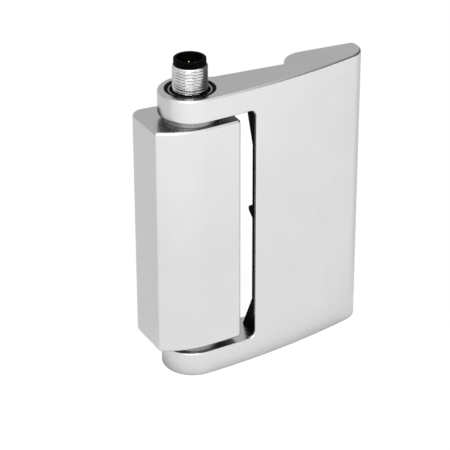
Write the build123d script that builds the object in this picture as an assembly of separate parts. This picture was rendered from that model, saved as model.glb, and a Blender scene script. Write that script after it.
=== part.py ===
"""Safety hinge switch: a cast hinge whose fixed knuckle is a switch housing.

Drawn about the pivot axis: X runs along the mounting plane towards the leaf's far end, Y runs back to the
mounting plane, Z is up and 0 is the leaf's lowest face. Each piece is moved at the end so that the origin
lies midway between the housing's two mounting screws, on the mounting plane. All sizes are in millimetres.
"""

from build123d import *
from math import asin, atan2, cos, degrees, radians, sin, sqrt, tan
import os

# Hinge as a whole
leaf_height = 105.0
upper_arm = 8.4
lower_arm = 9.0
thrust_gap = 2.0
knuckle_radius = 11.0
mounting_plane = 13.4
screw_inset = 10.8
screw_core_radius = 2.1
face_gap = 0.05
running_gap = 0.05
press_gap = 0.01

# Switch housing
housing_left = 16.9
housing_right = 14.4
left_lean = 4.0
front_curve = 28.0
back_left_round = 4.5
back_right_round = 1.5
housing_round = 1.2
housing_screw_edge = 7.1
housing_screw_depth = 7.4
right_wall = 3.6
chamber_front = 6.5
ledge_overlap = 0.7
ledge_height = 1.5

# Outline of the leaf, seen from above
front_tangent = 5.7
nose_radius = 7.5
nose_back = 3.8
end_corner = 2.0
leaf_back = 6.0
swing_gap = 0.54
mount_body_length = 21.3
mount_body_radius = 9.0
back_blend = 6.0
root_blend = 1.2
window_corner = 2.5
outer_round = 0.9
window_round = 0.6

# Walls and hollows of the leaf
skin = 3.0
lip = 1.0
lip_width = 3.5
hollow_length = 16.1
hollow_wall = 0.8
pocket_lead = 3.2
pocket_wall = 4.0
rib = 2.0
rib_drop = 2.5
boss_radius = 5.8
leaf_screw_inset = 6.2
leaf_screw_depth = 9.0

# Cover of the leaf's hollow
cover_wall = 1.8
cover_edge_depth = 2.9
wing_reach_low = 10.6
wing_reach_high = 8.6
wing_length = 14.0
lug_height = 5.2
lug_reach = 4.2
lug_middle = 57.4
lug_round = 1.2
cover_screw_inset = 12.0
cover_boss_radius = 2.6
cover_screw_radius = 1.25
cover_screw_length = 6.0
cover_screw_head = 2.1
cover_screw_slot = 0.5

# Housing cover and its gasket
lid_margin = 1.6
lid_margin_z = 5.0
lid_thickness = 2.0
lid_sink = 0.2
gasket_thickness = 0.8
lid_clearance = 0.1
lid_screw_side = 3.8
lid_screw_inset = 2.4
lid_screw_radius = 1.25
lid_screw_head = 2.1
lid_screw_length = 6.5
lid_screw_end = 0.8
lid_screw_slot_reach = 1.15
lid_screw_slot_width = 0.5
lid_screw_slot_depth = 0.75

# Upper pivot and plug
thread_radius = 6.0
thread_rise = 8.8
thread_start = 0.3
thread_chamfer = 0.5
thread_relief = 0.2
plug_clearance = 0.8
tube_wall = 0.8
tube_sink = 0.3
tube_step = 1.5
passage_ledge = 1.1
bush_wall = 1.1
washer_lip = 0.75
flange_drop = 4.0
flange_height = 4.0
flange_gap = 0.02
sleeve_wall = 0.5
insert_rise = 11.0
insert_depth = 7.0
insert_round = 0.3
cup_wall = 1.2
cup_depth = 8.5
key_width = 0.9
key_depth = 0.6
pin_count = 8
pin_circle = 2.75
pin_radius = 0.4
pin_drop = 2.5
pin_tail = 1.2
pin_turn = 10.0
lead_radius = 0.55
seal_height = 1.6

# Lower pivot
pivot_sink = 2.4
neck_radius = 2.4
neck_flat = 1.8
bush_length = 13.0
ring_rise = 1.9
shoulder_rise = 6.4
shoulder_drop = 0.2
groove_depth = 0.7
cap_thickness = 1.9
set_screw_radius = 2.0
set_screw_length = 2.9
hex_key = 2.0
hex_depth = 1.4

# Cam and contact block
cam_radius = 5.7
cam_height = 6.2
cam_groove_radius = 2.0
cam_groove_depth = 1.4
plunger_y = 4.3
plunger_radius = 1.2
plunger_clear = 0.2
plunger_gap = 0.06
plunger_travel = 1.7
block_rise = 3.0
block_side_gap = 2.3
block_reach = 5.8
block_wall = 1.5
block_floor = 2.0
stop_collar_radius = 2.4
stop_collar_height = 1.0
spring_collar_radius = 2.7
spring_collar_height = 0.8
spring_length = 6.0
spring_wire = 0.25
spring_radius = 1.9
spring_turns = 5
strip_thickness = 0.6
strip_inner = 3.1
strip_half_width = 1.5
strip_rise = 2.95
riser_width = 1.6
riser_reach = 1.8
tip_radius = 0.9
tip_height = 0.4
tip_x = 4.6
bridge_half_length = 5.8
bridge_half_width = 1.2
bridge_thickness = 0.5
bridge_gap = 4.0
contact_gap = 0.05
collar_gap = 0.6
board_thickness = 1.6
board_gap = 1.0
wire_space = 5.4

# Heights of the arms and the housing
far = 4 * leaf_height
middle = leaf_height / 2
window_low = lower_arm
window_high = leaf_height - upper_arm
housing_low = window_low + thrust_gap
housing_high = window_high - thrust_gap
housing_span = housing_high - housing_low
screw_heights = (housing_low + screw_inset, housing_high - screw_inset)
screw_middle = sum(screw_heights) / 2

# Radii about the pivot, outwards from the plug
insert_radius = thread_radius - sleeve_wall
cup_radius = insert_radius - cup_wall
tube_bore = thread_radius + plug_clearance
tube_radius = tube_bore + tube_wall
wire_passage = tube_bore - passage_ledge
pivot_radius = tube_radius
bush_bore = tube_radius + running_gap
bush_radius = bush_bore + bush_wall
washer_radius = bush_radius + washer_lip
groove_radius = pivot_radius - groove_depth
ring_section = (bush_radius - groove_radius) / 2

# Heights inside the housing, upwards from its foot
bush_high = housing_low + bush_length
ring_height = bush_high + ring_rise
cam_low = ring_height + shoulder_rise
cam_high = cam_low + cam_height
chamber_low = cam_low + shoulder_drop
plunger_low = cam_high + plunger_clear
block_low = cam_high + block_rise
cavity_low = block_low + block_floor
stop_collar_low = cavity_low + face_gap
stop_collar_high = stop_collar_low + stop_collar_height
nc_strip_low = stop_collar_high + strip_rise
nc_bridge_low = nc_strip_low + strip_thickness + 2 * tip_height + contact_gap
no_bridge_low = nc_bridge_low + bridge_thickness + bridge_gap
no_bridge_high = no_bridge_low + bridge_thickness
no_strip_low = no_bridge_high + 2 * tip_height + plunger_travel + contact_gap
spring_collar_low = no_strip_low + strip_thickness + collar_gap
spring_low = spring_collar_low + spring_collar_height
cavity_high = spring_low + spring_length
plunger_high = cavity_high - plunger_travel - spring_collar_height
block_high = cavity_high + block_floor
board_high = block_high + board_thickness
chamber_high = board_high + wire_space
tube_low = chamber_high + tube_step
tube_high = leaf_height - tube_sink
flange_high = leaf_height - flange_drop
flange_low = flange_high - flange_height
insert_low = leaf_height - insert_depth
insert_high = leaf_height + insert_rise
pin_low = insert_low - pin_tail

# Widths and depths inside the housing
chamber_half_width = housing_right - right_wall
lid_outer = mounting_plane - lid_sink
lid_inner = lid_outer - lid_thickness
lid_seat = lid_inner - gasket_thickness
lid_half_width = chamber_half_width + lid_margin
lid_low = chamber_low - lid_margin_z
lid_high = chamber_high + lid_margin_z
lid_screw_x = lid_half_width - lid_screw_side
housing_screw_x = housing_screw_edge - housing_left
block_half_width = chamber_half_width - block_side_gap
block_front = plunger_y - block_reach
cavity_half_width = block_half_width - block_wall
cavity_front = block_front + block_wall
board_half_width = chamber_half_width - board_gap

# The leaf's window clears the housing's back corners as the leaf swings
corner_sweeps = [
    sqrt((side - corner) ** 2 + (mounting_plane - corner) ** 2) + corner
    for side, corner in ((housing_left, back_left_round), (housing_right, back_right_round))
]
window_edge = max(corner_sweeps) + swing_gap

# Places along the leaf
hollow_end = window_edge + hollow_length
mount_body_start = hollow_end + hollow_wall + mount_body_radius
pocket_start = mount_body_start - pocket_lead
leaf_screw_x = mount_body_start + leaf_screw_inset
leaf_end = mount_body_start + mount_body_length

# The leaf's front curve leaves the knuckle at a small angle and ends on the round nose
lean = radians(front_tangent)
front_start = (knuckle_radius * sin(lean), -knuckle_radius * cos(lean))
nose = (leaf_end - nose_radius, mounting_plane - nose_back)
to_nose = (nose[0] - front_start[0], nose[1] - front_start[1])
nose_rise = to_nose[1] * cos(lean) - to_nose[0] * sin(lean)
front_radius = (to_nose[0] ** 2 + to_nose[1] ** 2 - nose_radius**2) / (2 * (nose_rise - nose_radius))
front_centre = (
    front_start[0] - front_radius * sin(lean),
    front_start[1] + front_radius * cos(lean),
)


def front_y(x, depth=0.0):
    """Y of the leaf's front curve at x, moved back into the metal by depth."""
    radius = front_radius - depth
    return front_centre[1] - sqrt(radius**2 - (x - front_centre[0]) ** 2)


def front_angle(x, depth=0.0):
    """Direction of a point of that curve, seen from the curve's centre."""
    return degrees(asin((x - front_centre[0]) / (front_radius - depth))) - 90


edge_rear = front_y(window_edge) + cover_edge_depth
panel_start = window_edge + leaf_back - edge_rear
cover_screw_x = (panel_start + hollow_end) / 2
cover_screw_heights = (window_low + cover_screw_inset, window_high - cover_screw_inset)


def arc(centre, radius, first, last):
    """Arc about a centre, from one direction to another, in degrees."""
    return CenterArc(centre, radius, first, last - first)


def path(*points):
    """Straight lines through some points of a plan."""
    return [Line(a, b) for a, b in zip(points, points[1:])]


def front_arc(x0, x1, depth):
    """Stretch of the leaf's front curve, moved back into the metal by depth."""
    return arc(front_centre, front_radius - depth, front_angle(x0, depth), front_angle(x1, depth))


def upright(lines, z0, z1):
    """Closed outline in plan, raised from z0 to z1."""
    return Pos(0, 0, z0) * extrude(make_face(lines), z1 - z0, dir=(0, 0, 1))


def box(x0, x1, y0, y1, z0, z1):
    """Block between two corners."""
    low = (Align.MIN, Align.MIN, Align.MIN)
    return Pos(x0, y0, z0) * Box(x1 - x0, y1 - y0, z1 - z0, align=low)


def post(radius, z0, z1, x=0.0, y=0.0):
    """Upright cylinder."""
    low = (Align.CENTER, Align.CENTER, Align.MIN)
    return Pos(x, y, z0) * Cylinder(radius, z1 - z0, align=low)


def rod_back(radius, x, z, y0, y1):
    """Cylinder that lies along Y."""
    low = (Align.CENTER, Align.CENTER, Align.MIN)
    return Pos(x, y0, z) * Rot(-90, 0, 0) * Cylinder(radius, y1 - y0, align=low)


def tube(outer, inner, z0, z1, x=0.0, y=0.0):
    """Upright tube or ring."""
    return post(outer, z0, z1, x, y) - post(inner, z0 - 1, z1 + 1, x, y)


def behind_front(x0, x1, depth, z0, z1):
    """Everything behind the leaf's front curve between two places, for cutting."""
    lines = [front_arc(x0, x1, depth)]
    lines += path((x1, front_y(x1, depth)), (x1, far), (x0, far), (x0, front_y(x0, depth)))
    return upright(lines, z0, z1)


# Leaf


def front_and_nose(x0, depth):
    """Front curve and round nose, moved back into the metal by depth."""
    meet = degrees(atan2(nose[1] - front_centre[1], nose[0] - front_centre[0]))
    curve = arc(front_centre, front_radius - depth, front_angle(x0, depth), meet)
    return [curve, arc(nose, nose_radius - depth, meet, 0)]


def leaf_outline():
    """Plan of the leaf: knuckle disc, curved front, nose and thick mounting body."""
    lines = front_and_nose(front_start[0], 0)
    body_centre = (mount_body_start, mounting_plane - mount_body_radius)
    foot_rise = leaf_back - body_centre[1]
    foot_x = mount_body_start - sqrt(mount_body_radius**2 - foot_rise**2)
    foot_angle = degrees(atan2(foot_rise, foot_x - mount_body_start))
    corner = (leaf_end - end_corner, mounting_plane - end_corner)
    lines += path((leaf_end, nose[1]), (leaf_end, corner[1]))
    lines += [arc(corner, end_corner, 0, 90)]
    lines += path((corner[0], mounting_plane), (mount_body_start, mounting_plane))
    lines += [arc(body_centre, mount_body_radius, 90, foot_angle)]
    lines += path((foot_x, leaf_back), (0, leaf_back), front_start)
    plan = make_face(lines) + Circle(knuckle_radius)

    knuckle_meet = sqrt(knuckle_radius**2 - leaf_back**2)
    for x, radius in ((knuckle_meet, back_blend), (foot_x, root_blend)):
        corner_point = plan.vertices().sort_by_distance((x, leaf_back, 0))[0]
        plan = fillet(corner_point, radius)
    return plan


def mounting_pocket():
    """Hollow of the mounting body, open at the back, less its screw bosses and ribs."""
    lines = front_and_nose(pocket_start, skin)
    wall_x = leaf_end - skin
    lines += path((wall_x, nose[1]), (wall_x, far), (pocket_start, far))
    lines += path((pocket_start, far), (pocket_start, front_y(pocket_start, skin)))
    pocket = upright(lines, pocket_wall, leaf_height - pocket_wall)
    for height in screw_heights:
        pocket -= rod_back(boss_radius, leaf_screw_x, height, -far, far)
    rib_back = mounting_plane - rib_drop
    half = rib / 2
    pocket -= box(leaf_screw_x - half, leaf_screw_x + half, -far, rib_back, 0, leaf_height)
    low, high = screw_heights
    third = (high - low) / 3
    for height in (low + third, high - third):
        pocket -= box(0, leaf_end, -far, rib_back, height - half, height + half)
    return pocket


def on_window_rim(edge):
    """Whether an edge runs round the window's front or back opening."""
    bounds = edge.bounding_box()
    inside = bounds.min.Z > window_low - face_gap and bounds.max.Z < window_high + face_gap
    return inside and bounds.max.X < window_edge + face_gap and bounds.size.X + bounds.size.Z > face_gap


def make_hinge_leaf():
    """Cast leaf: two arms, a thin curved wall and a ribbed mounting body."""
    leaf = extrude(leaf_outline(), leaf_height, dir=(0, 0, 1))
    ends = leaf.faces().sort_by(Axis.Z)
    leaf = fillet(ends[0].edges() + ends[-1].edges(), outer_round)

    window = box(-far, window_edge, -far, far, window_low, window_high)
    corners = window.edges().filter_by(Axis.Y).group_by(Axis.X)[-1]
    leaf -= fillet(corners, window_corner)
    leaf = fillet(leaf.edges().filter_by(on_window_rim), window_round)

    lip_end = window_edge + lip_width
    leaf -= behind_front(window_edge - window_corner, lip_end, lip, window_low, window_high)
    leaf -= behind_front(lip_end - press_gap, hollow_end, skin, window_low, window_high)
    leaf -= mounting_pocket()

    for height in cover_screw_heights:
        foot = front_y(cover_screw_x, skin / 2)
        rest = leaf_back - cover_wall
        leaf += rod_back(cover_boss_radius, cover_screw_x, height, foot, rest)
        leaf -= rod_back(cover_screw_radius, cover_screw_x, height, rest - cover_screw_length, far)
        leaf -= rod_back(cover_screw_head, cover_screw_x, height, leaf_back - cover_wall / 2, far)
    for height in screw_heights:
        depth = mounting_plane - leaf_screw_depth
        leaf -= rod_back(screw_core_radius, leaf_screw_x, height, depth, far)

    leaf -= post(bush_radius + press_gap, middle, far)
    leaf -= post(pivot_radius + press_gap, -far, middle)
    leaf -= rod_back(set_screw_radius, 0, lower_arm / 2, 0, far)
    return leaf


def make_leaf_cover():
    """Moulded cover of the leaf's hollow: black edge of the gap, sloped panel, snap lug and end wings."""
    lip_end = window_edge + lip_width
    inner = lip + press_gap
    slope = cover_wall * sqrt(2)
    low = window_low + face_gap
    high = window_high - face_gap
    right = hollow_end - face_gap
    foot_right = lip_end - face_gap
    foot_rear = foot_right - window_edge + edge_rear - slope
    lines = [front_arc(window_edge, foot_right, inner)]
    lines += path(
        (foot_right, front_y(foot_right, inner)),
        (foot_right, foot_rear),
        (foot_right + leaf_back - cover_wall - foot_rear, leaf_back - cover_wall),
        (right, leaf_back - cover_wall),
        (right, leaf_back),
        (panel_start, leaf_back),
        (window_edge, edge_rear),
        (window_edge, front_y(window_edge, inner)),
    )
    cover = upright(lines, low, high)
    for height in cover_screw_heights:
        boss_end = leaf_back - cover_wall
        cover -= rod_back(cover_boss_radius + face_gap, cover_screw_x, height, -far, boss_end)
        cover -= rod_back(cover_screw_radius, cover_screw_x, height, -far, far)
        cover -= rod_back(cover_screw_head, cover_screw_x, height, leaf_back - cover_wall / 2, far)

    front = front_y(window_edge) + (inner + cover_edge_depth) / 2
    wing_low = front_y(window_edge) + wing_reach_low
    wing_high = front_y(window_edge) + wing_reach_high
    low_end = low + wing_length
    high_end = high - wing_length
    low_wing = Polyline(
        (front, low), (wing_low, low), (edge_rear, low_end), (front, low_end), close=True
    )
    high_wing = Polyline(
        (front, high), (wing_high, high), (edge_rear, high_end), (front, high_end), close=True
    )
    lug_low = lug_middle - lug_height / 2
    lug = Polyline(
        (front, lug_middle + lug_height / 2),
        (edge_rear, lug_middle + lug_height / 2),
        (edge_rear + lug_reach, lug_middle),
        (edge_rear, lug_low),
        (front, lug_low),
        close=True,
    )
    tip = (edge_rear + lug_reach, lug_middle, 0)
    lug_face = make_face(lug)
    lug_face = fillet(lug_face.vertices().sort_by_distance(tip)[0], lug_round)
    for face in (make_face(low_wing), make_face(high_wing), lug_face):
        side = Plane(origin=(window_edge, 0, 0), x_dir=(0, 1, 0), z_dir=(1, 0, 0)) * face
        cover += extrude(side, cover_wall, dir=(1, 0, 0))
    return cover


def cover_screw(x, height, seat):
    """Small raised-head screw that lies along Y, its head on the seat."""
    head_height = cover_screw_head / 2
    screw = rod_back(cover_screw_radius - press_gap, x, height, seat - cover_screw_length, seat)
    head = rod_back(cover_screw_head - face_gap, x, height, seat, seat + head_height)
    rim = head.edges().filter_by(GeomType.CIRCLE).sort_by(Axis.Y)[-1]
    head = fillet(rim, head_height / 2)
    half = cover_screw_slot / 2
    slot = box(-far, far, seat + head_height / 2, far, height - half, height + half)
    return screw + (head - slot)


def make_leaf_cover_screws():
    seat = leaf_back - cover_wall / 2
    return [cover_screw(cover_screw_x, height, seat) for height in cover_screw_heights]


# Housing


def housing_outline():
    """Plan of the housing: flush with the leaf's front curve, then curving back to a leaning left side."""
    centre = (
        front_start[0] - front_curve * sin(lean),
        front_start[1] + front_curve * cos(lean),
    )
    slope = radians(left_lean)
    rear_left = (-housing_left, mounting_plane - back_left_round)
    # The left side leans in towards the front, so it meets the curve where both have one x.
    x = -housing_left
    for _ in range(20):
        y = centre[1] - sqrt(front_curve**2 - (x - centre[0]) ** 2)
        x = -housing_left + (rear_left[1] - y) * tan(slope)
    front_left = (x, y)
    start = degrees(atan2(front_left[1] - centre[1], front_left[0] - centre[0]))
    lines = [arc(centre, front_curve, start, front_tangent - 90)]
    lines += [front_arc(front_start[0], housing_right, 0)]
    lines += path(
        (housing_right, front_y(housing_right)),
        (housing_right, mounting_plane),
        (-housing_left, mounting_plane),
        rear_left,
        front_left,
    )
    plan = make_face(lines)
    right = plan.vertices().sort_by_distance((housing_right, mounting_plane, 0))[0]
    plan = fillet(right, back_right_round)
    left = plan.vertices().sort_by_distance((-housing_left, mounting_plane, 0))[0]
    return fillet(left, back_left_round)


def make_switch_housing():
    """Cast housing: pivot bores above and below a chamber that opens at the back."""
    housing = Pos(0, 0, housing_low) * extrude(housing_outline(), housing_span, dir=(0, 0, 1))
    ends = housing.faces().sort_by(Axis.Z)
    rim = ends[0].edges() + ends[-1].edges()
    upright_edges = housing.edges().filter_by(Axis.Z).filter_by(lambda e: e.center().Y < 0)
    housing = fillet(rim + upright_edges, housing_round)

    housing -= box(
        -chamber_half_width, chamber_half_width, -chamber_front, far, chamber_low, chamber_high
    )
    recess = box(-lid_half_width, lid_half_width, lid_seat, far, lid_low, lid_high)
    housing -= fillet(recess.edges().filter_by(Axis.Y), lid_margin)
    for side in (-1, 1):
        low, high = sorted((side * chamber_half_width, side * (block_half_width - ledge_overlap)))
        housing += box(low, high, cavity_front, lid_seat, block_low - ledge_height, block_low)

    housing -= post(tube_radius + press_gap, tube_low, far)
    housing -= post(wire_passage, middle, far)
    housing -= post(bush_radius + press_gap, -far, middle)
    for height in screw_heights:
        depth = mounting_plane - housing_screw_depth
        housing -= rod_back(screw_core_radius, housing_screw_x, height, depth, far)
    for x, height in lid_screw_places():
        depth = lid_outer - lid_screw_length - lid_screw_end
        housing -= rod_back(lid_screw_radius, x, height, depth, far)
    return housing


def lid_screw_places():
    heights = (lid_low + lid_screw_inset, lid_high - lid_screw_inset)
    return [(x, height) for x in (-lid_screw_x, lid_screw_x) for height in heights]


def lid_plate(y0, y1, inset):
    """Rounded plate that fits the recess at the housing's back."""
    plate = box(
        inset - lid_half_width,
        lid_half_width - inset,
        y0,
        y1,
        lid_low + inset,
        lid_high - inset,
    )
    return fillet(plate.edges().filter_by(Axis.Y), lid_margin - inset)


def make_housing_cover():
    """Plate that closes the chamber, with countersinks for its screws."""
    plate = lid_plate(lid_inner, lid_outer, lid_clearance)
    for x, height in lid_screw_places():
        plate -= rod_back(lid_screw_radius, x, height, -far, far)
        plate -= countersink(x, height, 0)
    return plate


def countersink(x, height, gap):
    """Cone of a flat-headed screw, its wide end level with the cover's face."""
    depth = lid_screw_head - lid_screw_radius
    cone = Cone(
        lid_screw_radius, lid_screw_head - gap, depth, align=(Align.CENTER, Align.CENTER, Align.MAX)
    )
    return Pos(x, lid_outer, height) * Rot(-90, 0, 0) * cone


def make_cover_screws():
    """Flat-headed screws with a cross slot, one at each corner of the housing's cover."""
    screws = []
    for x, height in lid_screw_places():
        shank = rod_back(
            lid_screw_radius - press_gap, x, height, lid_outer - lid_screw_length, lid_outer - press_gap
        )
        screw = shank + countersink(x, height, face_gap)
        reach, half = lid_screw_slot_reach, lid_screw_slot_width / 2
        depth = lid_outer - lid_screw_slot_depth
        screw -= box(x - reach, x + reach, depth, far, height - half, height + half)
        screw -= box(x - half, x + half, depth, far, height - reach, height + reach)
        screws.append(screw)
    return screws


def make_cover_gasket():
    """Flat rubber frame under the housing's cover."""
    frame = lid_plate(lid_seat, lid_inner, lid_clearance)
    frame -= box(
        -chamber_half_width, chamber_half_width, 0, far, chamber_low, chamber_high
    )
    for x, height in lid_screw_places():
        frame -= rod_back(lid_screw_radius + lid_clearance, x, height, 0, far)
    return frame


# Upper pivot and plug


def make_pivot_tube():
    """Hollow pivot, pressed into the housing; the plug's leads pass through it."""
    pivot = tube(tube_radius, tube_bore, tube_low, tube_high)
    rims = pivot.faces().sort_by(Axis.Z)[-1].edges()
    return chamfer(rims, (tube_radius - tube_bore) / 4)


def make_upper_bush():
    bush = tube(bush_radius, bush_bore, window_high, leaf_height)
    return chamfer(bush.faces().sort_by(Axis.Z)[-1].edges(), bush_wall / 5)


def make_thrust_washer(z0):
    washer = tube(washer_radius, bush_bore, z0, z0 + thrust_gap - face_gap)
    rims = washer.edges().filter_by(GeomType.CIRCLE).group_by(SortBy.RADIUS)[-1]
    return chamfer(rims, thrust_gap / 10)


def make_connector_shell():
    """Plug sleeve: the round thread's body above a flange that is screwed into the pivot tube."""
    shell = post(tube_bore - flange_gap, flange_low, flange_high)
    shell += post(thread_radius - thread_relief, flange_low, leaf_height + thread_start)
    shell += post(thread_radius, leaf_height + thread_start, leaf_height + thread_rise)
    top = shell.faces().sort_by(Axis.Z)[-1].edges()
    shell = chamfer(top, thread_chamfer)
    return shell - post(insert_radius + press_gap, -far, far)


def make_connector_insert():
    """Moulded insert with a hollow rim round the pins and a coding key inside it."""
    body = post(insert_radius, insert_low, insert_high)
    cup_low = insert_high - cup_depth
    body -= post(cup_radius, cup_low, far)
    body = fillet(body.faces().sort_by(Axis.Z)[-1].edges(), insert_round)
    reach = cup_radius + (insert_radius - cup_radius) / 2
    key = box(
        -key_width / 2, key_width / 2, cup_radius - key_depth, reach, cup_low, insert_high - insert_round * 2
    )
    body += Rot(0, 0, pin_turn) * key
    for x, y in pin_places():
        body -= post(pin_radius, -far, far, x, y)
    return body


def pin_places():
    """One pin in the middle and the others round it."""
    ring_count = pin_count - 1
    places = [(0.0, 0.0)]
    for index in range(ring_count):
        angle = radians(90 + pin_turn + (index + 0.5) * 360 / ring_count)
        places.append((pin_circle * cos(angle), pin_circle * sin(angle)))
    return places


def make_connector_pins():
    pins = []
    for x, y in pin_places():
        pin = post(pin_radius, pin_low, insert_high - pin_drop, x, y)
        pins.append(fillet(pin.edges().filter_by(GeomType.CIRCLE).sort_by(Axis.Z)[-1], pin_radius * 0.8))
    return pins


def make_connector_leads():
    return [post(lead_radius, board_high, pin_low, x, y) for x, y in pin_places()]


def make_connector_seal():
    """Square-section rubber ring above the flange."""
    inner = thread_radius - thread_relief
    return tube(tube_bore, inner, flange_high, flange_high + seal_height)


# Lower pivot


def make_pivot_pin():
    """Turned pin, fixed in the lower arm; its flatted neck turns the cam."""
    pin = post(pivot_radius, pivot_sink, cam_low)
    half = ring_section + press_gap
    pin -= tube(far, groove_radius, ring_height - half, ring_height + half)
    neck = post(neck_radius, pivot_sink, cam_high)
    pin += neck - box(neck_flat, far, -far, far, cam_low, far)
    edges = pin.edges().filter_by(GeomType.CIRCLE).group_by(Axis.Z)
    return chamfer(edges[0] + edges[-1], pivot_radius / 25)


def make_pin_seal():
    """Rubber ring in the pin's groove."""
    return Pos(0, 0, ring_height) * Torus(groove_radius + ring_section, ring_section)


def make_pin_set_screw():
    """Headless screw that locks the pin in the lower arm."""
    start = pivot_radius + face_gap
    screw = rod_back(
        set_screw_radius - press_gap, 0, lower_arm / 2, start, start + set_screw_length
    )
    socket = Plane(origin=(0, start + set_screw_length, lower_arm / 2), z_dir=(0, 1, 0))
    hexagon = socket * RegularPolygon(hex_key / 2, 6, major_radius=False)
    return screw - extrude(hexagon, hex_depth, dir=(0, -1, 0))


def make_pin_cap():
    cap = post(pivot_radius - face_gap, pivot_sink - cap_thickness, pivot_sink)
    return chamfer(cap.faces().sort_by(Axis.Z)[0].edges(), cap_thickness / 4)


def make_lower_bush():
    bush = tube(bush_radius, bush_bore, housing_low, bush_high)
    return chamfer(bush.faces().sort_by(Axis.Z)[-1].edges(), bush_wall / 5)


# Cam and contacts


def make_switch_cam():
    """Face cam on the pin's neck; the groove in its top lets the plunger down when the leaf is shut."""
    cam = post(cam_radius, cam_low, cam_high)
    bore = post(neck_radius + press_gap, 0, far) - box(neck_flat + press_gap, far, -far, far, 0, far)
    cam -= bore
    axis_height = cam_high + cam_groove_radius - cam_groove_depth
    groove = rod_back(
        cam_groove_radius, 0, axis_height, plunger_y - plunger_radius - plunger_clear, far
    )
    return cam - groove


def make_contact_block():
    """Moulded case of the contacts, open at the back, with holes for the plunger and the strips."""
    block = box(-block_half_width, block_half_width, block_front, lid_inner, block_low, block_high)
    block = fillet(block.edges().filter_by(Axis.Z), block_wall / 2)
    block -= box(-cavity_half_width, cavity_half_width, cavity_front, far, cavity_low, cavity_high)
    block -= post(plunger_radius + plunger_gap, 0, cavity_high, 0, plunger_y)
    for strip in strip_sizes():
        x0, x1 = strip["riser_x"]
        y0, y1 = strip["riser_y"]
        block -= box(x0 - press_gap, x1 + press_gap, y0 - press_gap, y1 + press_gap, middle, far)
    return block


def make_contact_block_lid():
    """Plate that closes the contact block's open back."""
    gap = face_gap
    plate = box(
        gap - cavity_half_width,
        cavity_half_width - gap,
        lid_inner - block_wall,
        lid_inner,
        cavity_low + gap,
        cavity_high - gap,
    )
    return chamfer(plate.faces().sort_by(Axis.Y)[-1].edges(), block_wall / 5)


def strip_sizes():
    """Two strips on each side: normally closed low and in front, normally open high and behind."""
    strips = []
    for side in (-1, 1):
        outer = side * (cavity_half_width - face_gap)
        riser = outer - side * strip_thickness
        inner = side * strip_inner
        for kind in ("nc", "no"):
            front = plunger_y - strip_half_width
            back = plunger_y + strip_half_width
            if kind == "nc":
                riser_y = (front - riser_reach, front - riser_reach + riser_width)
                reach = (riser_y[0], back)
            else:
                riser_y = (back + riser_reach - riser_width, back + riser_reach)
                reach = (front, riser_y[1])
            strips.append(
                {
                    "kind": kind,
                    "side": side,
                    "x": (min(outer, inner), max(outer, inner)),
                    "y": reach,
                    "riser_x": (min(outer, riser), max(outer, riser)),
                    "riser_y": riser_y,
                }
            )
    return strips


def make_fixed_contacts():
    """Bent brass strips with a contact tip each, whose risers end in the terminal board."""
    contacts = []
    for strip in strip_sizes():
        normally_closed = strip["kind"] == "nc"
        low = nc_strip_low if normally_closed else no_strip_low
        high = low + strip_thickness
        piece = box(*strip["x"], *strip["y"], low, high)
        piece += box(*strip["riser_x"], *strip["riser_y"], low, board_high)
        x = strip["side"] * tip_x
        if normally_closed:
            piece += post(tip_radius, high, high + tip_height, x, plunger_y)
        else:
            piece += post(tip_radius, low - tip_height, low, x, plunger_y)
        contacts.append(piece)
    return contacts


def bridge(low, tips_up):
    """Moving contact strip with a tip at each end and a hole for the plunger."""
    high = low + bridge_thickness
    strip = box(
        -bridge_half_length,
        bridge_half_length,
        plunger_y - bridge_half_width,
        plunger_y + bridge_half_width,
        low,
        high,
    )
    strip = fillet(strip.edges().filter_by(Axis.Z), bridge_half_width / 2)
    strip += post(stop_collar_radius, low, high, 0, plunger_y)
    for x in (-tip_x, tip_x):
        base = high if tips_up else low - tip_height
        strip += post(tip_radius, base, base + tip_height, x, plunger_y)
    return strip - post(plunger_radius + press_gap, 0, far, 0, plunger_y)


def make_plunger():
    """Stem with a rounded tip, a stop collar on the block's floor and a collar under the spring."""
    stem = post(plunger_radius, plunger_low, plunger_high, 0, plunger_y)
    tip = stem.edges().filter_by(GeomType.CIRCLE).sort_by(Axis.Z)[0]
    stem = fillet(tip, plunger_radius - plunger_clear)
    stem += post(stop_collar_radius, stop_collar_low, stop_collar_high, 0, plunger_y)
    return stem + post(spring_collar_radius, spring_collar_low, spring_low, 0, plunger_y)


def make_return_spring():
    """Coil spring between the plunger's upper collar and the block's ceiling."""
    low = spring_low + spring_wire + face_gap
    height = spring_length - 2 * (spring_wire + face_gap)
    helix = Helix(height / spring_turns, height, spring_radius)
    section = Plane(origin=helix @ 0, z_dir=helix % 0) * Circle(spring_wire)
    return Pos(0, plunger_y, low) * sweep(section, path=helix)


def make_terminal_board():
    """Circuit board on top of the contact block, where leads and strips end."""
    front, back = board_gap - chamber_front, lid_seat - board_gap
    board = box(-board_half_width, board_half_width, front, back, block_high, board_high)
    for strip in strip_sizes():
        x0, x1 = strip["riser_x"]
        y0, y1 = strip["riser_y"]
        board -= box(x0 - press_gap, x1 + press_gap, y0 - press_gap, y1 + press_gap, 0, far)
    return board


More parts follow.
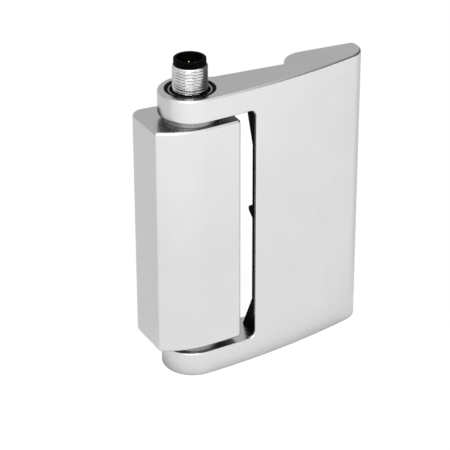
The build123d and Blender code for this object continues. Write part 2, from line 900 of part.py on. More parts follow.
def pieces():
    """Every piece by its node's name."""
    return {
        "hinge_leaf": make_hinge_leaf(),
        "leaf_cover": make_leaf_cover(),
        "leaf_cover_screws": make_leaf_cover_screws(),
        "switch_housing": make_switch_housing(),
        "housing_cover": make_housing_cover(),
        "cover_gasket": make_cover_gasket(),
        "cover_screws": make_cover_screws(),
        "pivot_tube": make_pivot_tube(),
        "upper_bush": make_upper_bush(),
        "upper_thrust_washer": make_thrust_washer(housing_high),
        "lower_thrust_washer": make_thrust_washer(window_low),
        "connector_shell": make_connector_shell(),
        "connector_insert": make_connector_insert(),
        "connector_pins": make_connector_pins(),
        "connector_leads": make_connector_leads(),
        "connector_seal": make_connector_seal(),
        "pivot_pin": make_pivot_pin(),
        "pin_seal": make_pin_seal(),
        "pin_set_screw": make_pin_set_screw(),
        "pin_cap": make_pin_cap(),
        "lower_bush": make_lower_bush(),
        "switch_cam": make_switch_cam(),
        "contact_block": make_contact_block(),
        "contact_block_lid": make_contact_block_lid(),
        "fixed_contacts": make_fixed_contacts(),
        "nc_bridge": bridge(nc_bridge_low, tips_up=False),
        "no_bridge": bridge(no_bridge_low, tips_up=True),
        "plunger": make_plunger(),
        "return_spring": make_return_spring(),
        "terminal_board": make_terminal_board(),
    }


def main():
    os.makedirs("parts", exist_ok=True)
    to_origin = Pos(-housing_screw_x, -mounting_plane, -screw_middle)
    for name, piece in pieces().items():
        solids = piece if isinstance(piece, list) else [piece]
        placed = [to_origin * solid for solid in solids]
        shape = placed[0] if len(placed) == 1 else Compound(children=placed)
        export_step(shape, f"parts/{name}.step")
        print(name, len(shape.solids()), round(shape.volume, 1))


if __name__ == "__main__":
    main()
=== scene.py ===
# %% [markdown]
# # Safety hinge switch
# A cast hinge whose fixed knuckle is a switch housing, with a round threaded plug on the pivot axis.
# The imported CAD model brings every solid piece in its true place. This lesson adds what CAD leaves
# open: the finish of each surface, the fine thread of the plug, the studio and the camera.
# Lengths are in metres. X runs from the housing to the leaf's far end, Y goes back to the mounting
# plane, and Z is up along the pivot.

# %% Load the fixed frame
import math

import bmesh
import bpy
from mathutils import Euler, Matrix, Vector


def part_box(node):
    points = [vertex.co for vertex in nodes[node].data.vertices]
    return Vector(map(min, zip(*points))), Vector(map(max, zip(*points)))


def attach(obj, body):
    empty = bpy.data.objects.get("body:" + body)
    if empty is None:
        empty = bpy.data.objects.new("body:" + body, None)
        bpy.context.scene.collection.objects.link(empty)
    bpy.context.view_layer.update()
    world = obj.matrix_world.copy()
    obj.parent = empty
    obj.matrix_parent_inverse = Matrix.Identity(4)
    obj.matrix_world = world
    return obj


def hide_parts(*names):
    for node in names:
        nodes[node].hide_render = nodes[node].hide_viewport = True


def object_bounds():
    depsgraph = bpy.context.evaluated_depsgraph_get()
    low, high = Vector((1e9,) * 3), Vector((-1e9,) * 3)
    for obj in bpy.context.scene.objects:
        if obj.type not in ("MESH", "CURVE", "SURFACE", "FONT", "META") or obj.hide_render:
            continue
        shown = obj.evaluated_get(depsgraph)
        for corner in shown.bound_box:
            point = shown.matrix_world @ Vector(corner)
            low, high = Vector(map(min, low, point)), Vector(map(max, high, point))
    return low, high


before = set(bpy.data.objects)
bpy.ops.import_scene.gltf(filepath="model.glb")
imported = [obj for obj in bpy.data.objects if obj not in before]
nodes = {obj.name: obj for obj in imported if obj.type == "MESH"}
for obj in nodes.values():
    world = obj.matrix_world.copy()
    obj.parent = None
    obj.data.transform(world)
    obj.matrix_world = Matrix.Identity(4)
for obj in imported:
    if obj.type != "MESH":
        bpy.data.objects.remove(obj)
cad_low, cad_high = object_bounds()
MM = 0.001
print("CAD nodes:", len(nodes), "box in mm:", [round(v * 1000, 1) for v in cad_high - cad_low])

# %% [markdown]
# ## Camera
# The photograph looks at the hinge from the left and from above, through a long lens. The numbers
# come from a fit of the hinge's edges to the photograph. Turning the camera by its tilt first, then
# by its heading, keeps both angles readable.

# %% Camera
HEADING = 23.8955
TILT = 27.7597
ROLL = -0.1575
LENS_ANGLE = 12.6312
CAMERA_PLACE_MM = Vector((-228.867, -580.251, 324.697))
NEAREST_SEEN = 0.05
FARTHEST_SEEN = 20
camera_data = bpy.data.cameras.new("Camera")
camera_data.angle = math.radians(LENS_ANGLE)
camera_data.clip_start = NEAREST_SEEN
camera_data.clip_end = FARTHEST_SEEN
camera = bpy.data.objects.new("Camera", camera_data)
aim = Euler((math.radians(90 - TILT), 0, math.radians(-HEADING))).to_matrix()
turn = aim @ Matrix.Rotation(math.radians(ROLL), 3, "Z")
camera.matrix_world = Matrix.LocRotScale(CAMERA_PLACE_MM * MM, turn, None)
bpy.context.scene.collection.objects.link(camera)
bpy.context.scene.camera = camera
bpy.context.scene.view_settings.view_transform = "Standard"
print("camera lens:", round(camera_data.lens, 1), "mm")

# %% [markdown]
# ## Helpers for nodes
# Every finish below is a Principled shader with a few texture nodes in front of it. Three short helpers
# keep those cells easy to read: one adds a node and sets its inputs, one does a sum with sockets or
# numbers, and one starts a material whose uniform values sit on the shader's own sockets.

# %% Node helpers
def add_node(tree, kind, **inputs):
    """Adds a node and sets inputs by name, with underscores for spaces."""
    node = tree.nodes.new(kind)
    for name, value in inputs.items():
        node.inputs[name.replace("_", " ")].default_value = value
    return node


def value_of(tree, operation, *operands):
    """A Math node; its operands are numbers or sockets."""
    node = tree.nodes.new("ShaderNodeMath")
    node.operation = operation
    for socket, operand in zip(node.inputs, operands):
        if isinstance(operand, bpy.types.NodeSocket):
            tree.links.new(operand, socket)
        else:
            socket.default_value = operand
    return node.outputs[0]


def start_finish(name, roughness, metallic=0.0, **inputs):
    """A new material with a Principled shader and its Object coordinates."""
    material = bpy.data.materials.new(name)
    material.use_nodes = True
    tree = material.node_tree
    shader = tree.nodes["Principled BSDF"]
    shader.inputs["Roughness"].default_value = roughness
    shader.inputs["Metallic"].default_value = metallic
    for key, value in inputs.items():
        shader.inputs[key.replace("_", " ")].default_value = value
    place = tree.nodes.new("ShaderNodeTexCoord").outputs["Object"]
    return material, tree, shader, place


print("node helpers ready")

# %% [markdown]
# ## Colour, roughness and bump from noise
# No real surface has one flat colour. A noise texture moves the colour a little either way, a second
# one moves the roughness, and a fine one lifts the surface. Each helper takes the size of its spots in
# millimetres, so a reader can compare it with the real thing.

# %% Surface helpers
def spots(tree, place, size_mm, detail=3.0):
    """Noise whose spots are about size_mm across."""
    noise = add_node(tree, "ShaderNodeTexNoise", Scale=1000.0 / size_mm, Detail=detail, Roughness=0.55)
    tree.links.new(place, noise.inputs["Vector"])
    return noise.outputs["Fac"]


def remap(tree, value, low, high, start=0.3, end=0.7):
    """Value that goes from low to high while the given one goes from start to end."""
    ranged = add_node(tree, "ShaderNodeMapRange", From_Min=start, From_Max=end, To_Min=low, To_Max=high)
    tree.links.new(value, ranged.inputs["Value"])
    return ranged.outputs["Result"]


def tint(tree, shader, value, dark, light):
    """Colour that goes from dark to light with a value."""
    mix = tree.nodes.new("ShaderNodeMix")
    mix.data_type = "RGBA"
    mix.inputs["A"].default_value = (*dark, 1)
    mix.inputs["B"].default_value = (*light, 1)
    tree.links.new(value, mix.inputs["Factor"])
    tree.links.new(mix.outputs["Result"], shader.inputs["Base Color"])


def lift(tree, shader, value, height_mm, edge_mm):
    """Bump of a given height, over edges that are rounded by edge_mm."""
    bump = add_node(tree, "ShaderNodeBump", Distance=height_mm * MM, Strength=1.0)
    tree.links.new(value, bump.inputs["Height"])
    edge = add_node(tree, "ShaderNodeBevel", Radius=edge_mm * MM)
    edge.samples = 4
    tree.links.new(edge.outputs["Normal"], bump.inputs["Normal"])
    tree.links.new(bump.outputs["Normal"], shader.inputs["Normal"])


def grey(value):
    """Neutral colour of one brightness."""
    return (value, value, value)


print("surface helpers ready")

# %% [markdown]
# ## Silver coating on the castings
# Housing and leaf are castings with a fine silver-grey finish, which the photograph shows as bright
# satin metal. It could be a grey paint with a clear coat, but paint doesn't mirror the room as softly
# and evenly. So the shader is fully metallic, and a roughness of about 0.26 blurs what it mirrors. A
# fine grain of 0.35 mm breaks the gloss up, and larger spots of a few percent keep the broad faces
# alive. The two castings share the recipe but are made in turn, with the pattern moved, so that the
# spots don't run on across them.

# %% Coated castings
BROAD_MM = 14.0
FLAKE_MM = 0.35
BROAD_SHARE = 0.4
FLAKE_SHARE = 0.6


def coated_casting(name, shift):
    material, tree, shader, place = start_finish(name, roughness=0.26, metallic=1.0)
    moved = add_node(tree, "ShaderNodeMapping", Location=(shift, 0, shift / 2))
    tree.links.new(place, moved.inputs["Vector"])
    broad = spots(tree, moved.outputs["Vector"], BROAD_MM, detail=2.0)
    flake = spots(tree, moved.outputs["Vector"], FLAKE_MM, detail=2.0)
    broad_part = value_of(tree, "MULTIPLY", broad, BROAD_SHARE)
    both = value_of(tree, "MULTIPLY_ADD", flake, FLAKE_SHARE, broad_part)
    tint(tree, shader, remap(tree, both, low=0, high=1), grey(0.70), grey(0.755))
    tree.links.new(remap(tree, flake, low=0.22, high=0.30), shader.inputs["Roughness"])
    lift(tree, shader, flake, height_mm=0.007, edge_mm=0.25)
    return material


cast_housing = coated_casting("Silver coating, housing", 0.0)
cast_leaf = coated_casting("Silver coating, leaf", 0.13)
print("coated castings:", cast_housing.name, "and", cast_leaf.name)

# %% [markdown]
# ## Black mouldings, bearing plastic and rubber
# The leaf's cover and the pin's cap are spark-textured black mouldings, the bushes are a denser turned
# plastic, and seal and gasket are soft black rubber. One recipe serves them all: what changes is the
# roughness, the size of the grain and how black it is. The plastics that show are darker than real ones
# and shine less, because the photograph shows them as solid black. That extra darkness is painted shade,
# for the deep shade in the gaps round these parts.

# %% Dark plastics and rubber
DARKER = 0.75
LIGHTER = 1.3
ROUGHNESS_SWING = 0.07
GRAINS_A_CLOUD = 6


def dark_plastic(name, colour, roughness, grain_mm, height_mm, shine=0.5):
    material, tree, shader, place = start_finish(name, roughness, Specular_IOR_Level=shine)
    grain = spots(tree, place, grain_mm)
    tint(tree, shader, remap(tree, grain, low=0, high=1), grey(colour * DARKER), grey(colour * LIGHTER))
    cloud = spots(tree, place, grain_mm * GRAINS_A_CLOUD)
    rough = remap(tree, cloud, low=roughness - ROUGHNESS_SWING, high=roughness + ROUGHNESS_SWING)
    tree.links.new(rough, shader.inputs["Roughness"])
    lift(tree, shader, grain, height_mm, edge_mm=0.15)
    return material


# Painted shade: these three plastics are darker than the real ones, for the deep shade round them.
black_moulding_painted_shade = dark_plastic(
    "Textured black moulding", colour=0.003, roughness=0.65, grain_mm=0.3, height_mm=0.02, shine=0.05
)
plug_moulding_painted_shade = dark_plastic(
    "Plug insert moulding with painted shade", colour=0.003, roughness=0.55, grain_mm=0.25, height_mm=0.008, shine=0.03
)
bush_plastic_painted_shade = dark_plastic(
    "Black bearing plastic with painted shade", colour=0.003, roughness=0.55, grain_mm=0.5, height_mm=0.006, shine=0.05
)
black_rubber = dark_plastic("Black rubber", colour=0.02, roughness=0.7, grain_mm=0.4, height_mm=0.01)
grey_block = dark_plastic(
    "Grey contact block moulding", colour=0.045, roughness=0.5, grain_mm=0.3, height_mm=0.012
)
print("dark plastics:", black_moulding_painted_shade.name, plug_moulding_painted_shade.name, bush_plastic_painted_shade.name)

# %% [markdown]
# ## Turned metal
# Tube, pin and the plug's sleeve come off a lathe, so fine rings run round their axis. A wave texture
# in its rings form, laid round Z, draws them; a Mapping node puts its centre on the pivot axis. The
# rings only change the roughness and the bump, and a faint cloud of noise moves the colour. The spring's
# drawn wire borrows the recipe. So do the grey bearing rings, with a smaller metallic share, because
# the photograph shows them with a soft shine.

# %% Turned metal
tube_low, tube_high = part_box("pivot_tube")
PIVOT = Vector(((tube_low.x + tube_high.x) / 2, (tube_low.y + tube_high.y) / 2, 0))
# At a scale of 1 a wave texture repeats after this many metres.
WAVE_LENGTH = math.pi / 10
CLOUD_MM = 2.0
TURNED_DARKER = 0.93
TURNED_LIGHTER = 1.05
SMOOTHER = 0.85
ROUGHER = 1.2


def turned_metal(name, colour, roughness, ring_mm=0.754, height_mm=0.004, metallic=1.0):
    material, tree, shader, place = start_finish(name, roughness, metallic)
    centred = add_node(tree, "ShaderNodeMapping", Location=(-PIVOT.x, -PIVOT.y, 0))
    tree.links.new(place, centred.inputs["Vector"])
    scale = WAVE_LENGTH / (ring_mm * MM)
    rings = add_node(tree, "ShaderNodeTexWave", Scale=scale, Distortion=0.6, Detail=2.0)
    rings.wave_type = "RINGS"
    rings.rings_direction = "Z"
    tree.links.new(centred.outputs["Vector"], rings.inputs["Vector"])
    cloud = remap(tree, spots(tree, place, CLOUD_MM), low=0, high=1)
    light = grey(min(1, colour * TURNED_LIGHTER))
    tint(tree, shader, cloud, grey(colour * TURNED_DARKER), light)
    ring = rings.outputs["Fac"]
    rough = remap(tree, ring, roughness * SMOOTHER, roughness * ROUGHER, start=0, end=1)
    tree.links.new(rough, shader.inputs["Roughness"])
    lift(tree, shader, ring, height_mm, edge_mm=0.1)
    return material


pivot_steel = turned_metal("Turned pivot steel", colour=0.42, roughness=0.34)
plug_metal = turned_metal("Nickel plating", colour=0.9, roughness=0.1, ring_mm=3.77, height_mm=0.0005)
spring_steel = turned_metal("Drawn spring wire", colour=0.5, roughness=0.3)
washer_grey = turned_metal("Grey bearing ring", colour=0.5, roughness=0.4, metallic=0.6)
print("pivot axis at mm:", [round(v * 1000, 2) for v in PIVOT])

# %% [markdown]
# ## Plated, stamped and brushed metal
# Contact pins are gold plated, the contact strips are stamped brass, the small screws are zinc plated
# or blackened, and the cover is an anodised plate with a brushed grain. A brushed grain could be drawn
# with a wave texture, but noise that a Mapping node stretches along one axis has streaks of uneven
# length, as a brush leaves them.

# %% Brushed and plated metal
STREAK_MM = 0.2
BRUSHED_DARKER = 0.88
BRUSHED_LIGHTER = 1.06


def brushed_metal(name, colour, roughness, stretch, metallic=1.0, height_mm=0.004):
    material, tree, shader, place = start_finish(name, roughness, metallic)
    pulled = add_node(tree, "ShaderNodeMapping", Scale=stretch)
    tree.links.new(place, pulled.inputs["Vector"])
    streaks = spots(tree, pulled.outputs["Vector"], STREAK_MM)
    dark = tuple(c * BRUSHED_DARKER for c in colour)
    light = tuple(min(1, c * BRUSHED_LIGHTER) for c in colour)
    tint(tree, shader, remap(tree, streaks, low=0, high=1), dark, light)
    rough = remap(tree, streaks, roughness * SMOOTHER, roughness * ROUGHER)
    tree.links.new(rough, shader.inputs["Roughness"])
    lift(tree, shader, streaks, height_mm, edge_mm=0.1)
    return material


ALONG_X = (0.04, 1, 1)
ROUND_SCREW = (1, 0.3, 1)
ALONG_PIN = (1, 1, 0.2)
ALONG_STRIP = (0.2, 1, 1)
cover_plate = brushed_metal(
    "Anodised cover plate", grey(0.5), roughness=0.42, stretch=ALONG_X, metallic=0.8
)
steel_screw = brushed_metal(
    "Zinc plated screw", (0.62, 0.62, 0.64), roughness=0.3, stretch=ROUND_SCREW
)
black_screw = brushed_metal(
    "Blackened screw", grey(0.05), roughness=0.42, stretch=ROUND_SCREW, metallic=0.6
)
pin_metal = brushed_metal(
    "Gold plated pin", (0.86, 0.7, 0.4), roughness=0.22, stretch=ALONG_PIN, height_mm=0.001
)
contact_brass = brushed_metal(
    "Stamped brass", (0.8, 0.62, 0.3), roughness=0.32, stretch=ALONG_STRIP
)
print("plated metals:", cover_plate.name, pin_metal.name, contact_brass.name)

# %% [markdown]
# ## Pale plastics and the board
# Cam and plunger are a natural bearing plastic, the leads have a grey insulation, and the board is
# green laminate under a clear lacquer. All are hidden while the switch is whole, but the parts are also
# looked at one by one, so each has its own colour, a little unevenness in it and a fine grain.

# %% Pale plastics and laminate
PALE_SWING = 0.05
GRAINS_A_PALE_CLOUD = 5


def pale_plastic(name, dark, light, roughness, grain_mm=0.4, height_mm=0.006):
    material, tree, shader, place = start_finish(name, roughness)
    grain = spots(tree, place, grain_mm)
    cloud = spots(tree, place, grain_mm * GRAINS_A_PALE_CLOUD)
    tint(tree, shader, remap(tree, cloud, low=0, high=1), dark, light)
    rough = remap(tree, grain, roughness - PALE_SWING, roughness + PALE_SWING)
    tree.links.new(rough, shader.inputs["Roughness"])
    lift(tree, shader, grain, height_mm, edge_mm=0.15)
    return material


cam_plastic = pale_plastic(
    "Natural bearing plastic", dark=(0.74, 0.74, 0.69), light=(0.82, 0.82, 0.78), roughness=0.4
)
lead_insulation = pale_plastic("Lead insulation", dark=grey(0.3), light=grey(0.38), roughness=0.5)
board_laminate = pale_plastic(
    "Board laminate", dark=(0.05, 0.2, 0.09), light=(0.08, 0.27, 0.13), roughness=0.3, grain_mm=0.2
)
print("pale plastics:", cam_plastic.name, board_laminate.name)

# %% [markdown]
# ## Hand the finishes out
# Each CAD node already carries a material slot of its own, so it only needs the new material put
# in that slot. The names on the left are the CAD nodes.

# %% Give every CAD node its finish
FINISH_OF = {
    "switch_housing": cast_housing,
    "hinge_leaf": cast_leaf,
    # Painted shade: the leaf cover is black where its wall lines the slot beside the housing, standing for
    # the deep shade in that slot.
    "leaf_cover": black_moulding_painted_shade,
    "leaf_cover_screws": black_screw,
    "housing_cover": cover_plate,
    "cover_gasket": black_rubber,
    "cover_screws": steel_screw,
    "pivot_tube": pivot_steel,
    "upper_bush": bush_plastic_painted_shade,
    "lower_bush": bush_plastic_painted_shade,
    "upper_thrust_washer": washer_grey,
    "lower_thrust_washer": washer_grey,
    "connector_shell": plug_metal,
    "connector_insert": plug_moulding_painted_shade,
    "connector_pins": pin_metal,
    "connector_leads": lead_insulation,
    "connector_seal": black_rubber,
    "pivot_pin": pivot_steel,
    "pin_seal": black_rubber,
    "pin_set_screw": black_screw,
    "pin_cap": black_moulding_painted_shade,
    "switch_cam": cam_plastic,
    "contact_block": grey_block,
    "contact_block_lid": grey_block,
    "fixed_contacts": contact_brass,
    "nc_bridge": contact_brass,
    "no_bridge": contact_brass,
    "plunger": cam_plastic,
    "return_spring": spring_steel,
    "terminal_board": board_laminate,
}
for name, node in nodes.items():
    for slot in node.material_slots:
        slot.material = FINISH_OF[name]
print("nodes with a finish:", len(FINISH_OF), "of", len(nodes))

# %% [markdown]
# ## The plug's thread
# The CAD sleeve is plain at the thread's outer radius. The real one has a rolled M12 thread with 1 mm
# between turns, which is what catches the light in the photograph. A thread is a shape with a rule:
# go round once and move up by one pitch. So Geometry Nodes bend a flat grid into it. One grid
# direction goes round the axis, the other up the thread, and the rows are slanted by one pitch so
# that each row follows a crest or a root exactly. The crest is flat over an eighth of the pitch and
# the root over a quarter, and a flank joins them on either side.

# %% Sizes of the sleeve
shell_low, shell_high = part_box("connector_shell")
leaf_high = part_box("hinge_leaf")[1]
insert_low, insert_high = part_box("connector_insert")
MAJOR = 6.0 * MM
PITCH = 1.0 * MM
DEPTH = 0.42 * MM
PRESS_GAP = 0.01 * MM
BORE = (insert_high.x - insert_low.x) / 2 + PRESS_GAP
FLANGE = (shell_high.x - shell_low.x) / 2
FLANGE_HEIGHT = 4.0 * MM
FLANGE_TOP = shell_low.z + FLANGE_HEIGHT
THREAD_SINK = 0.2 * MM
THREAD_LOW = leaf_high.z - THREAD_SINK
THREAD_HIGH = shell_high.z
HALF_CREST = 1 / 16
FLANK_RUN = 5 / 16
STEPS_ROUND = 96
ROWS_A_TURN = 16
WELD_REACH = 0.002 * MM
print("thread runs for mm:", round((THREAD_HIGH - THREAD_LOW) * 1000, 2))

# %% Tree that cuts the thread
def thread_tree():
    """Tree that bends a grid into a screw thread and joins it to the turned sleeve."""
    tree = bpy.data.node_groups.new("Screw thread", "GeometryNodeTree")
    face = tree.interface
    face.new_socket("Sleeve", in_out="INPUT", socket_type="NodeSocketGeometry")
    for name in ("Major radius", "Depth", "Pitch", "Low", "High"):
        face.new_socket(name, in_out="INPUT", socket_type="NodeSocketFloat")
    for name in ("Steps round", "Rows"):
        face.new_socket(name, in_out="INPUT", socket_type="NodeSocketInt")
    face.new_socket("Centre", in_out="INPUT", socket_type="NodeSocketVector")
    face.new_socket("Finish", in_out="INPUT", socket_type="NodeSocketMaterial")
    face.new_socket("Geometry", in_out="OUTPUT", socket_type="NodeSocketGeometry")
    given = tree.nodes.new("NodeGroupInput").outputs
    result = tree.nodes.new("NodeGroupOutput")

    grid = add_node(tree, "GeometryNodeMeshGrid", Size_X=1.0, Size_Y=1.0)
    tree.links.new(given["Steps round"], grid.inputs["Vertices X"])
    tree.links.new(given["Rows"], grid.inputs["Vertices Y"])
    split = tree.nodes.new("ShaderNodeSeparateXYZ")
    tree.links.new(tree.nodes.new("GeometryNodeInputPosition").outputs[0], split.inputs[0])
    along = value_of(tree, "ADD", split.outputs["X"], 0.5)
    up = value_of(tree, "ADD", split.outputs["Y"], 0.5)
    angle = value_of(tree, "MULTIPLY", along, -2 * math.pi)

    span = value_of(tree, "SUBTRACT", given["High"], given["Low"])
    reach = value_of(tree, "ADD", span, given["Pitch"])
    risen = value_of(tree, "MULTIPLY", up, reach)
    slant = value_of(tree, "MULTIPLY", value_of(tree, "SUBTRACT", along, 1.0), given["Pitch"])
    raw = value_of(tree, "ADD", value_of(tree, "ADD", given["Low"], risen), slant)
    height = value_of(tree, "MINIMUM", value_of(tree, "MAXIMUM", raw, given["Low"]), given["High"])

    turns = value_of(tree, "DIVIDE", risen, given["Pitch"])
    phase = value_of(tree, "FRACT", turns)
    from_crest = value_of(tree, "ABSOLUTE", value_of(tree, "SUBTRACT", phase, 0.5))
    past_crest = value_of(tree, "SUBTRACT", from_crest, HALF_CREST)
    flank = value_of(tree, "DIVIDE", past_crest, FLANK_RUN)
    flank = value_of(tree, "MINIMUM", value_of(tree, "MAXIMUM", flank, 0.0), 1.0)
    cut = value_of(tree, "MULTIPLY", flank, given["Depth"])
    thread = value_of(tree, "SUBTRACT", given["Major radius"], cut)
    root = value_of(tree, "SUBTRACT", given["Major radius"], given["Depth"])
    above = value_of(tree, "ADD", root, value_of(tree, "SUBTRACT", height, given["Low"]))
    below = value_of(tree, "ADD", root, value_of(tree, "SUBTRACT", given["High"], height))
    radius = value_of(tree, "MINIMUM", thread, value_of(tree, "MINIMUM", above, below))

    place = tree.nodes.new("ShaderNodeCombineXYZ")
    tree.links.new(value_of(tree, "MULTIPLY", radius, value_of(tree, "COSINE", angle)), place.inputs["X"])
    tree.links.new(value_of(tree, "MULTIPLY", radius, value_of(tree, "SINE", angle)), place.inputs["Y"])
    tree.links.new(height, place.inputs["Z"])
    moved = tree.nodes.new("ShaderNodeVectorMath")
    tree.links.new(place.outputs[0], moved.inputs[0])
    tree.links.new(given["Centre"], moved.inputs[1])
    bend = tree.nodes.new("GeometryNodeSetPosition")
    tree.links.new(grid.outputs["Mesh"], bend.inputs["Geometry"])
    tree.links.new(moved.outputs[0], bend.inputs["Position"])

    flip = tree.nodes.new("GeometryNodeFlipFaces")
    tree.links.new(bend.outputs[0], flip.inputs[0])
    join = tree.nodes.new("GeometryNodeJoinGeometry")
    tree.links.new(flip.outputs[0], join.inputs[0])
    tree.links.new(given["Sleeve"], join.inputs[0])
    weld = add_node(tree, "GeometryNodeMergeByDistance", Distance=WELD_REACH)
    tree.links.new(join.outputs[0], weld.inputs["Geometry"])
    real = tree.nodes.new("GeometryNodeRealizeInstances")
    tree.links.new(weld.outputs[0], real.inputs[0])
    paint = tree.nodes.new("GeometryNodeSetMaterial")
    tree.links.new(real.outputs[0], paint.inputs["Geometry"])
    tree.links.new(given["Finish"], paint.inputs["Material"])
    tree.links.new(paint.outputs[0], result.inputs[0])
    return tree


thread_nodes = thread_tree()
print("thread tree nodes:", len(thread_nodes.nodes))

# %% [markdown]
# The rest of the sleeve is turned: its section runs from the thread's upper end over the rim, down the
# bore, round the flange and back up to the thread's lower end. Spinning that open section leaves two
# rings, in the same steps as the grid, and the tree welds them to the thread, so the sleeve is closed.

# %% Turn the sleeve and cut its thread
def spin_section(name, section, centre, steps):
    """Mesh object of an open section, turned round an upright axis."""
    shape = bmesh.new()
    rings = []
    for radius, height in section:
        ring = []
        for step in range(steps):
            angle = -2 * math.pi * step / steps
            spot = (radius * math.cos(angle), radius * math.sin(angle), height)
            ring.append(shape.verts.new(Vector(spot) + centre))
        rings.append(ring)
    for first, second in zip(rings, rings[1:]):
        for step in range(steps):
            after = (step + 1) % steps
            shape.faces.new((first[step], first[after], second[after], second[step]))
    mesh = bpy.data.meshes.new(name)
    shape.to_mesh(mesh)
    shape.free()
    turned = bpy.data.objects.new(name, mesh)
    bpy.context.scene.collection.objects.link(turned)
    return turned


ROOT = MAJOR - DEPTH
EASE = 0.15 * MM
RIM_EASE = 0.05 * MM
sleeve_section = [
    (ROOT, THREAD_HIGH),
    (BORE + RIM_EASE, THREAD_HIGH),
    (BORE, THREAD_HIGH - RIM_EASE),
    (BORE, shell_low.z),
    (FLANGE - EASE, shell_low.z),
    (FLANGE, shell_low.z + EASE),
    (FLANGE, FLANGE_TOP - EASE),
    (FLANGE - EASE, FLANGE_TOP),
    (ROOT, FLANGE_TOP),
    (ROOT, THREAD_LOW),
]
sleeve = spin_section("threaded_sleeve", sleeve_section, PIVOT, STEPS_ROUND)
print("sleeve before its thread, faces:", len(sleeve.data.polygons))

# %% Set the thread's inputs and keep the result
def run_tree(target, tree, **inputs):
    """Runs a tree on an object, keeps the result as its mesh and takes the modifier off."""
    modifier = target.modifiers.new("Shape", "NODES")
    modifier.node_group = tree
    for item in tree.interface.items_tree:
        key = item.name.replace(" ", "_")
        if item.in_out == "INPUT" and key in inputs:
            modifier[item.identifier] = inputs[key]
    bpy.context.view_layer.update()
    shown = target.evaluated_get(bpy.context.evaluated_depsgraph_get())
    mesh = bpy.data.meshes.new_from_object(shown)
    target.modifiers.remove(modifier)
    target.data = mesh


rows = round((THREAD_HIGH - THREAD_LOW + PITCH) / PITCH * ROWS_A_TURN) + 1
run_tree(
    sleeve,
    thread_nodes,
    Major_radius=MAJOR,
    Depth=DEPTH,
    Pitch=PITCH,
    Low=THREAD_LOW,
    High=THREAD_HIGH,
    Steps_round=STEPS_ROUND + 1,
    Rows=rows,
    Centre=PIVOT,
    Finish=plug_metal,
)
print("threaded sleeve faces:", len(sleeve.data.polygons))

# %% [markdown]
# Welding can leave slivers with no area and faces that point either way, so the mesh is cleaned once
# more. Then the plain CAD shell is hidden, since the sleeve takes its place with the plug's metal that
# the tree gave it, and the sleeve rides on the housing.

# %% Let the faces point outwards and ride on the housing
SCRAP = 0.0005 * MM


def face_outwards(target, sharp_degrees=35):
    """Clears loose scraps, turns every face outwards and smooths all but the sharp edges."""
    shape = bmesh.new()
    shape.from_mesh(target.data)
    bmesh.ops.dissolve_degenerate(shape, dist=SCRAP, edges=shape.edges)
    bmesh.ops.recalc_face_normals(shape, faces=shape.faces)
    open_edges = sum(1 for edge in shape.edges if not edge.is_manifold)
    for face in shape.faces:
        face.smooth = True
    for edge in shape.edges:
        edge.smooth = edge.is_manifold and edge.calc_face_angle() < math.radians(sharp_degrees)
    shape.to_mesh(target.data)
    shape.free()
    return open_edges


print("open edges left on the sleeve:", face_outwards(sleeve))
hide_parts("connector_shell")
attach(sleeve, "housing")

# %% [markdown]
# ## Studio
# The photograph is a cut-out on white, with bright castings, softer tops and nearly black gaps. Satin
# metal takes its brightness from what it mirrors, so floor and room do most of the lighting here.
# Light Path tells what kind of ray looks at a surface. Rays from the camera see white. Rays off a
# mirror or through glass see a strength that can change from place to place, in full at the first
# bounce. Later bounces, deep in a gap or a pocket, get a small share, which keeps the gaps dark.

# %% White for the camera and for mirrors
LATER_SHARE = 0.15


def white_for_camera(tree, keep_camera, keep_glossy, first_depth):
    """Strength for rays from the camera, and for rays off a mirror or through glass."""
    path = tree.nodes.new("ShaderNodeLightPath")
    seen = value_of(tree, "MULTIPLY", path.outputs["Is Camera Ray"], keep_camera)
    mirrored = value_of(tree, "MAXIMUM", path.outputs["Is Glossy Ray"], path.outputs["Is Transmission Ray"])
    first = value_of(tree, "LESS_THAN", path.outputs["Ray Depth"], first_depth + 0.5)
    first = value_of(tree, "MAXIMUM", first, LATER_SHARE)
    mirrored = value_of(tree, "MULTIPLY", mirrored, first)
    return value_of(tree, "ADD", seen, value_of(tree, "MULTIPLY", mirrored, keep_glossy))


print("share of later bounces:", LATER_SHARE)

# %% [markdown]
# ## Floor
# The floor is a diffuse surface, which takes the hinge's shadow, with an Emission shader added for the
# camera and for mirrors. For mirrors that glow is a painted pool of light: brightest far in front of the
# hinge and dimmer behind it, as under a soft light from the front; start and end below are places along
# Y, in metres. Ambient occlusion finds where the hinge stands close over the floor, and the glow is darker
# there, a painted contact shadow, which gives the lower edges their grey rim.

# %% Floor
FLOOR_HALF = 3.0
FLOOR_DROP = 0.02 * MM
floor_level = cad_low.z - FLOOR_DROP
floor_mesh = bpy.data.meshes.new("Floor")
signs = [(-1, -1), (1, -1), (1, 1), (-1, 1)]
corners = [(x * FLOOR_HALF, y * FLOOR_HALF, floor_level) for x, y in signs]
floor_mesh.from_pydata(corners, [], [(0, 1, 2, 3)])
floor = bpy.data.objects.new("Floor", floor_mesh)
bpy.context.scene.collection.objects.link(floor)
print("floor at mm:", round(floor_level * 1000, 2))

# %% Floor material
FLOOR_SHADE = 0.15
FLOOR_TO_CAMERA = 0.98
CONTACT_REACH = 16 * MM
floor_material = bpy.data.materials.new("Pale floor")
floor_material.use_nodes = True
floor_tree = floor_material.node_tree
floor_tree.nodes.clear()
floor_place = floor_tree.nodes.new("ShaderNodeTexCoord")
floor_split = floor_tree.nodes.new("ShaderNodeSeparateXYZ")
floor_tree.links.new(floor_place.outputs["Object"], floor_split.inputs[0])
floor_y = floor_split.outputs["Y"]
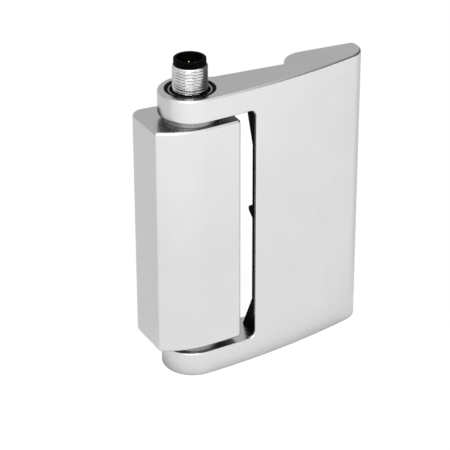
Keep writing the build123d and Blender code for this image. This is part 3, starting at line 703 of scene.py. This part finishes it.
# Painted light: for mirrors the floor glows brighter in front of the hinge and dimmer behind it.
painted_floor_light_near = remap(floor_tree, floor_y, low=0.97, high=0.73, start=-0.035, end=0.01)
painted_floor_light_far = remap(floor_tree, floor_y, low=1.17, high=1.0, start=-0.22, end=-0.10)
# Painted shadow: ambient occlusion darkens that glow where the hinge stands close over the floor.
floor_open = add_node(floor_tree, "ShaderNodeAmbientOcclusion", Distance=CONTACT_REACH)
floor_open.samples = 8
painted_floor_contact_shadow = remap(floor_tree, floor_open.outputs["AO"], low=0.0, high=1.0, start=0.15, end=0.75)
painted_floor_glow = value_of(floor_tree, "MULTIPLY", painted_floor_light_near, painted_floor_light_far)
painted_floor_glow = value_of(floor_tree, "MULTIPLY", painted_floor_glow, painted_floor_contact_shadow)
floor_paper = add_node(floor_tree, "ShaderNodeBsdfDiffuse", Color=(*grey(FLOOR_SHADE), 1))
floor_white = add_node(floor_tree, "ShaderNodeEmission", Color=(*grey(1), 1))
floor_strength = white_for_camera(floor_tree, FLOOR_TO_CAMERA, painted_floor_glow, first_depth=1)
floor_tree.links.new(floor_strength, floor_white.inputs["Strength"])
floor_both = floor_tree.nodes.new("ShaderNodeAddShader")
floor_tree.links.new(floor_paper.outputs[0], floor_both.inputs[0])
floor_tree.links.new(floor_white.outputs[0], floor_both.inputs[1])
floor_out = floor_tree.nodes.new("ShaderNodeOutputMaterial")
floor_tree.links.new(floor_both.outputs[0], floor_out.inputs["Surface"])
floor_mesh.materials.append(floor_material)
print("floor material nodes:", len(floor_tree.nodes))

# %% [markdown]
# ## Room
# The world's texture coordinate called Generated is the direction in which a ray looks, so it can make
# one side of the room brighter than another. The room is bright in front, dimmer behind, and dark on
# the far right, which gives the plug its dark side. Light Path counts one bounce more for the world
# than for a surface, so the first bounce has depth 2 here and depth 1 on the floor.

# %% World
ROOM_DIFFUSE = 0.01
world = bpy.data.worlds.new("Studio")
bpy.context.scene.world = world
world.use_nodes = True
world_tree = world.node_tree
room = world_tree.nodes["Background"]
room.inputs["Color"].default_value = (*grey(1), 1)
world_place = world_tree.nodes.new("ShaderNodeTexCoord")
world_split = world_tree.nodes.new("ShaderNodeSeparateXYZ")
world_tree.links.new(world_place.outputs["Generated"], world_split.inputs[0])
world_mirror = remap(world_tree, world_split.outputs["Y"], low=1.15, high=0.54, start=-0.5, end=0.5)
world_sides = remap(world_tree, world_split.outputs["X"], low=1.0, high=0.12, start=0.52, end=0.75)
world_mirror = value_of(world_tree, "MULTIPLY", world_mirror, world_sides)
bright = white_for_camera(world_tree, 1 - ROOM_DIFFUSE, world_mirror, first_depth=2)
world_tree.links.new(value_of(world_tree, "ADD", bright, ROOM_DIFFUSE), room.inputs["Strength"])
print("diffuse share of the room:", ROOM_DIFFUSE)

# %% [markdown]
# ## Key lamp
# One large soft area lamp stands in front on the left, above the hinge, and is aimed at a point on it.
# It gives the plastics their light, the floor its shadow and the metal's edges their highlights. Its
# power is worked out from the brightness that it lends to a plain white card at that point, so that
# the number keeps its meaning when the lamp is moved.

# %% Key lamp
LAMP_TARGET = Vector((0.03, -0.015, 0.0))
LAMP_HEADING = math.radians(-30)
LAMP_HEIGHT = math.radians(48)
LAMP_DISTANCE = 0.75
LAMP_SIZE = 0.5
CARD_BRIGHTNESS = 0.45
lamp_side = math.sin(LAMP_HEADING) * math.cos(LAMP_HEIGHT)
lamp_front = -math.cos(LAMP_HEADING) * math.cos(LAMP_HEIGHT)
lamp_away = Vector((lamp_side, lamp_front, math.sin(LAMP_HEIGHT)))
lamp_data = bpy.data.lights.new("Key, front left", "AREA")
lamp_data.shape = "RECTANGLE"
lamp_data.size = LAMP_SIZE
lamp_data.size_y = LAMP_SIZE
lamp_data.energy = CARD_BRIGHTNESS * math.pi**2 * LAMP_DISTANCE**2
lamp = bpy.data.objects.new("Key, front left", lamp_data)
lamp.location = LAMP_TARGET + lamp_away * LAMP_DISTANCE
lamp.rotation_euler = lamp_away.to_track_quat("Z", "Y").to_euler()
bpy.context.scene.collection.objects.link(lamp)
print("lamp:", lamp.name, "with", round(lamp_data.energy, 2), "W")
